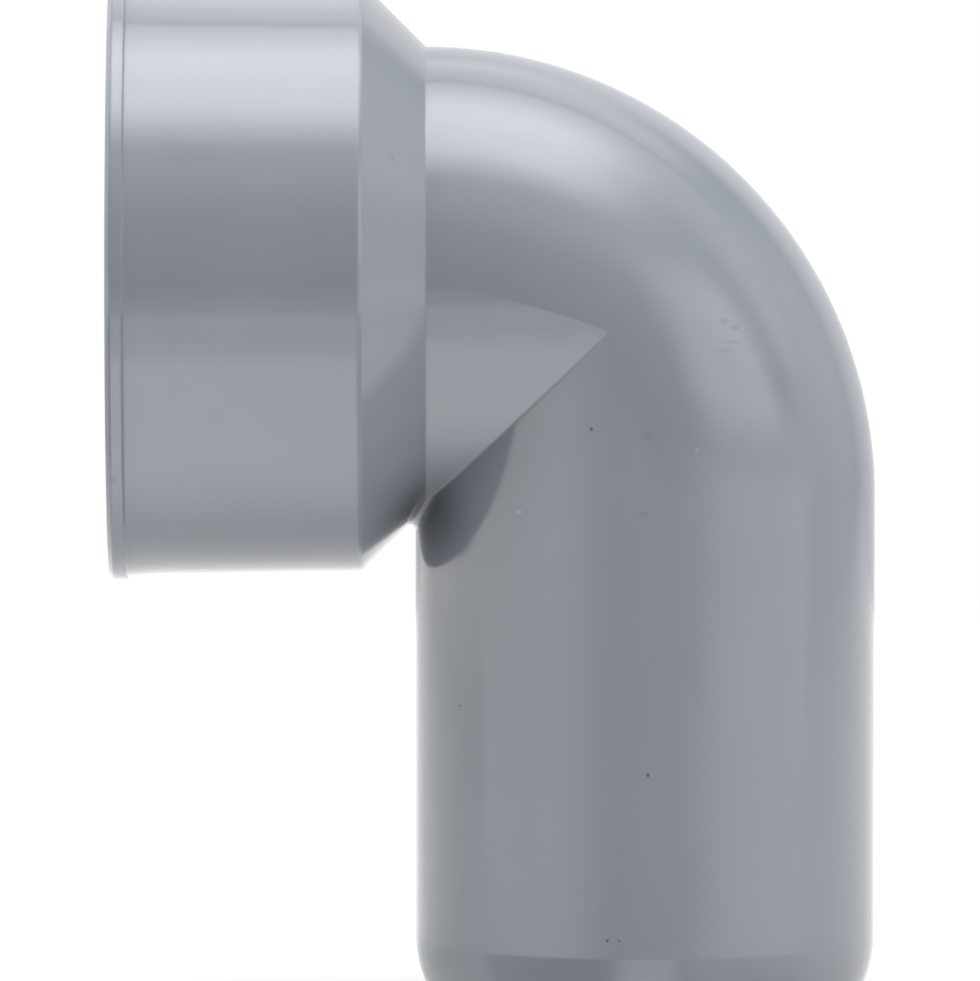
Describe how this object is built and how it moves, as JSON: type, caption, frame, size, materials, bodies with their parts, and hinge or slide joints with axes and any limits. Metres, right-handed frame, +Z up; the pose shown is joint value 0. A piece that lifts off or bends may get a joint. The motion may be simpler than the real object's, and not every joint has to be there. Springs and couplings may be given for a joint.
{
  "type": "trap elbow",
  "caption": "One-piece square waste elbow: a plain round spigot pointing down, a wide rimmed socket to the side, a 45 degree cone between leg and socket, and a rounded outer bend.",
  "frame": {"origin": "centre of the spigot's end face, at the foot of the spigot's axis", "axes": "+Z up along the spigot's axis, socket opening towards -X, Y across the part"},
  "size_m": [0.0666, 0.0528, 0.0894],
  "materials": {
    "grey_pvc": "gloss"
  },
  "bodies": {
    "root": {"elbow_body": "grey_pvc"}
  },
  "joints": []
}
